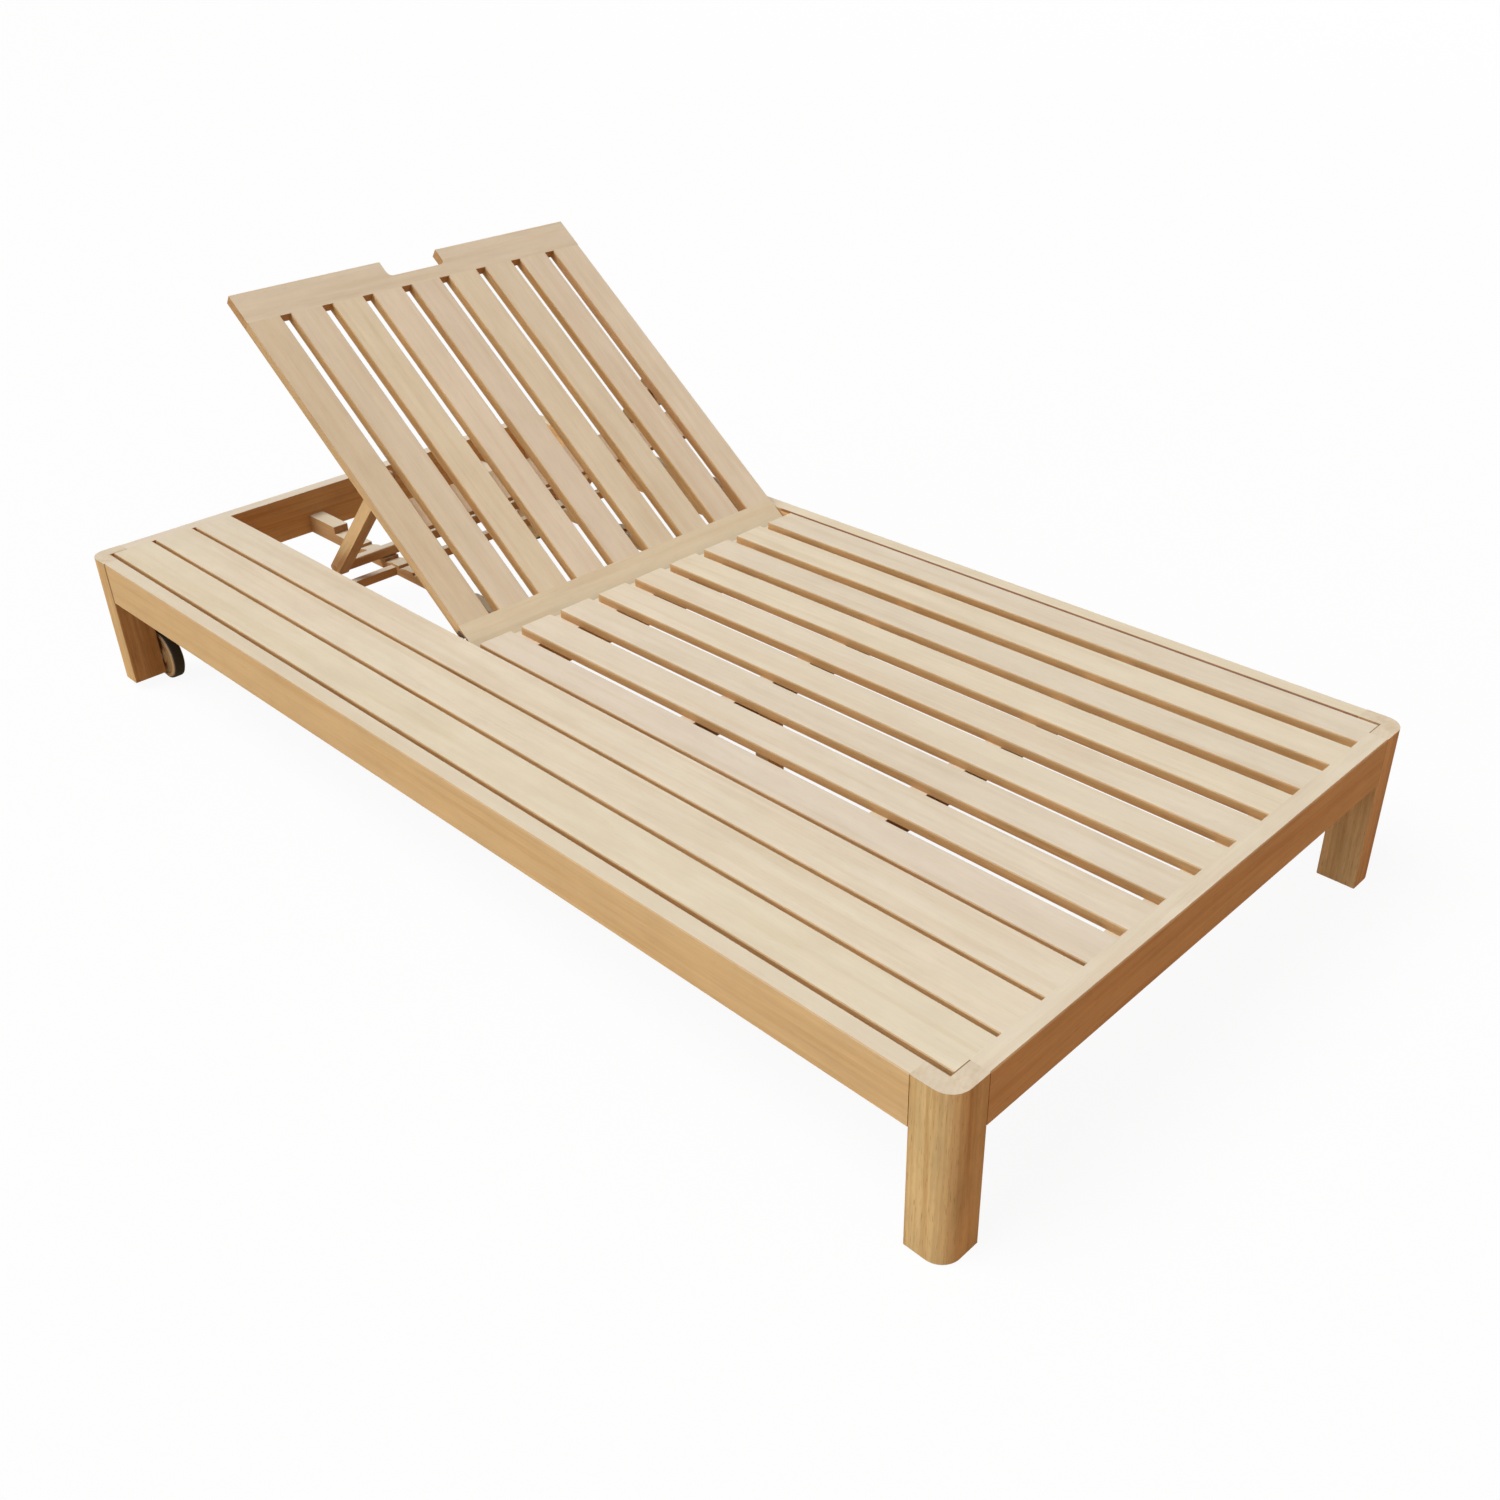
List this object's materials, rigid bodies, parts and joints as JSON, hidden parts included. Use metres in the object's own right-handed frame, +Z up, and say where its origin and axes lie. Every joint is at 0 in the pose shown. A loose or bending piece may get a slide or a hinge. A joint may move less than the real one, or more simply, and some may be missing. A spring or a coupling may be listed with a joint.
{
  "type": "double chaise lounger",
  "caption": "Low, wide slatted wooden chaise lounger with a fixed side shelf, a full-width reclining backrest on a prop, and a wheel at each head leg.",
  "frame": {"origin": "on the floor under the middle of the footprint", "axes": "+X towards the foot end, +Y towards the side away from the shelf, +Z up"},
  "size_m": [2, 1.023, 0.7035],
  "materials": {
    "deck_timber": "pale sanded hardwood, unfinished",
    "frame_timber": "warm sanded hardwood, unfinished",
    "wheel_timber": "turned hardwood",
    "steel": "dull zinc-plated steel",
    "tyre_rubber": "matt black rubber"
  },
  "bodies": {
    "frame": {"axle_far": "steel", "axle_near": "steel", "centre_leg": "frame_timber", "far_apron": "frame_timber", "foot_apron": "frame_timber", "foot_far_post": "frame_timber", "foot_ledger": "frame_timber", "foot_near_post": "frame_timber", "head_apron": "frame_timber", "head_far_post": "frame_timber", "head_ledger": "frame_timber", "head_near_post": "frame_timber", "hinge_leaves_fixed": "steel", "hinge_pins": "steel", "hinge_rail": "frame_timber", "near_apron": "frame_timber", "rack_cross_rail": "frame_timber", "rack_far": "frame_timber", "rack_near": "frame_timber", "seat_batten_1": "frame_timber", "seat_batten_2": "frame_timber", "seat_slat_1": "deck_timber", "seat_slat_2": "deck_timber", "seat_slat_3": "deck_timber", "seat_slat_4": "deck_timber", "seat_slat_5": "deck_timber", "seat_slat_6": "deck_timber", "seat_slat_7": "deck_timber", "seat_slat_8": "deck_timber", "seat_slat_9": "deck_timber", "shelf_batten_1": "frame_timber", "shelf_batten_2": "frame_timber", "shelf_rail": "frame_timber", "shelf_slat_1": "deck_timber", "shelf_slat_2": "deck_timber", "shelf_slat_3": "deck_timber"},
    "backrest": {"back_batten": "deck_timber", "back_bottom_rail": "deck_timber", "back_header": "deck_timber", "back_slat_1": "deck_timber", "back_slat_2": "deck_timber", "back_slat_3": "deck_timber", "back_slat_4": "deck_timber", "back_slat_5": "deck_timber", "back_slat_6": "deck_timber", "back_slat_7": "deck_timber", "back_stile_far": "deck_timber", "back_stile_near": "deck_timber", "hinge_leaves_moving": "steel", "prop_cleat_near": "frame_timber", "prop_cleat_far": "frame_timber", "prop_bolts": "steel"},
    "prop": {"prop_arm_near": "frame_timber", "prop_arm_far": "frame_timber", "prop_foot_bar": "frame_timber"},
    "wheel_near_body": {"wheel_near": "wheel_timber", "tyre_near": "tyre_rubber"},
    "wheel_far_body": {"wheel_far": "wheel_timber", "tyre_far": "tyre_rubber"}
  },
  "joints": [
    {"name": "backrest_hinge", "type": "hinge", "parent": "frame", "child": "backrest", "pos_m": [-0.224, 0.1215, 0.251], "axis": [0, 1, 0], "range_deg": [-37.13, 15]},
    {"name": "prop_hinge", "type": "hinge", "parent": "backrest", "child": "prop", "pos_m": [-0.50637, 0.1215, 0.43468], "axis": [0, 1, 0], "range_deg": [-34.3, 84.7]},
    {"name": "wheel_near_turn", "type": "hinge", "parent": "frame", "child": "wheel_near_body", "pos_m": [-0.949, -0.43685, 0.048], "axis": [0, 1, 0], "continuous": true},
    {"name": "wheel_far_turn", "type": "hinge", "parent": "frame", "child": "wheel_far_body", "pos_m": [-0.949, 0.43685, 0.048], "axis": [0, 1, 0], "continuous": true}
  ],
  "couplings": [
    {"joint": "prop_hinge", "follows": "backrest_hinge", "ratio": -2.277}
  ]
}
